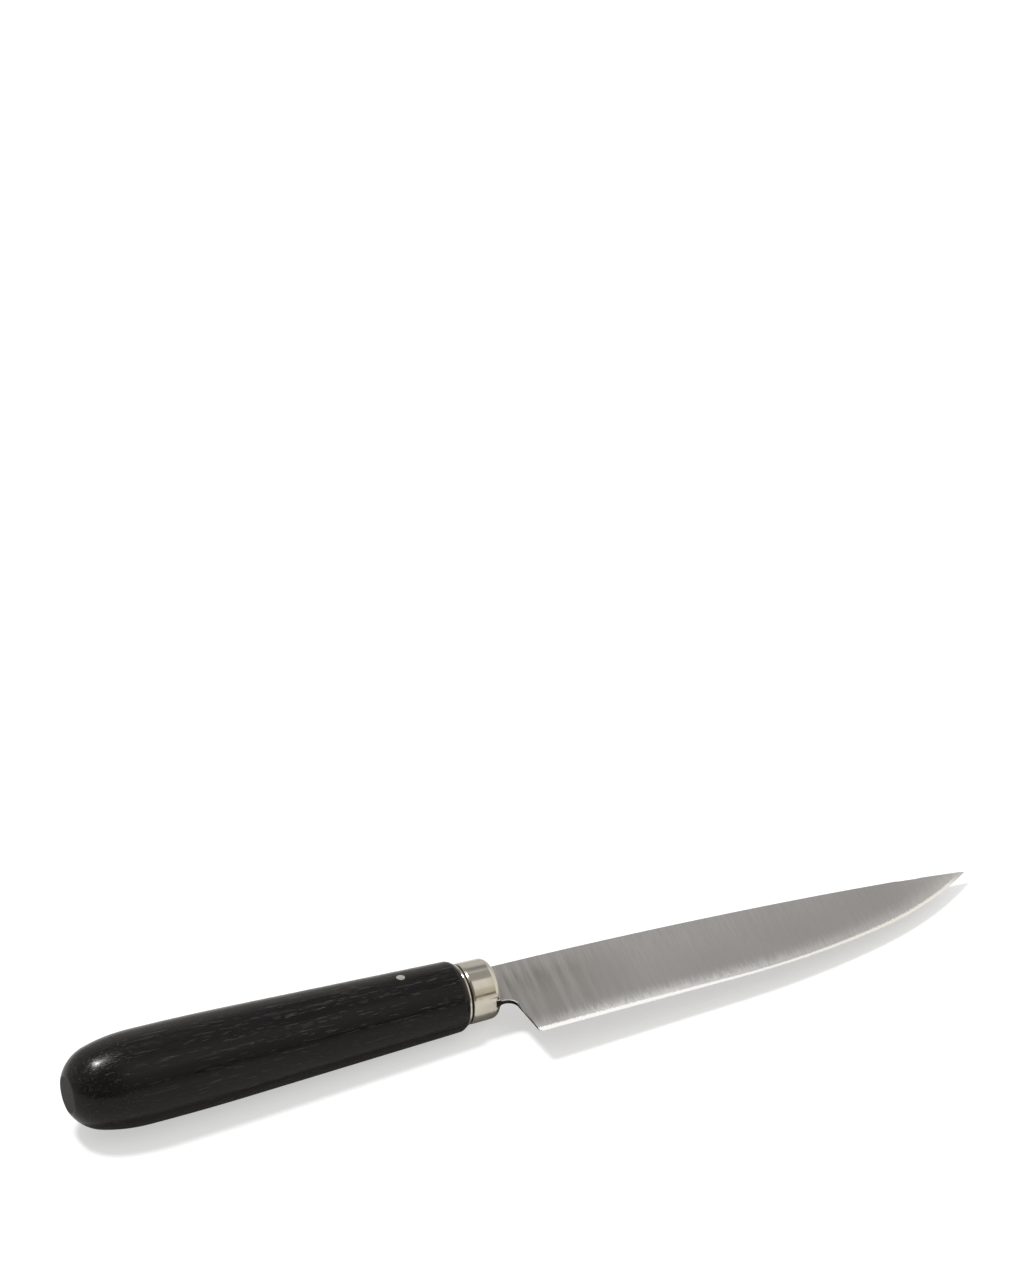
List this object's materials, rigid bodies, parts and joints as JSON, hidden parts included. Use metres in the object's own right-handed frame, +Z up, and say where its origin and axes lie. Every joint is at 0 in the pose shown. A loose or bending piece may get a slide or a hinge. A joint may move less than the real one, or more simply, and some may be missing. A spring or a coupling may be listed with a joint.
{
  "type": "paring knife",
  "caption": "Paring knife with a round turned wooden grip, a beaded metal ferrule, a flush cross pin and a flat-ground blade that sweeps up to a fine point.",
  "frame": {"origin": "centre of the bounding box's underside, on the surface that the knife lies on", "axes": "+X from the butt to the point of the blade in plan, +Z up off the surface, cutting edge to -Y. The knife lies on its side on the straight underside of its grip, so its own axis dips 2.25 degrees below +X towards the point"},
  "size_m": [0.2206, 0.031, 0.0215],
  "materials": {
    "blade_steel": "satin",
    "ferrule_metal": "polished",
    "handle_wood": "satin",
    "pin_metal": "satin",
    "bedding_resin": "matte"
  },
  "bodies": {
    "root": {"blade": "blade_steel", "ferrule": "ferrule_metal", "handle": "handle_wood", "handle_pin": "pin_metal", "tang_bedding": "bedding_resin"}
  },
  "joints": []
}
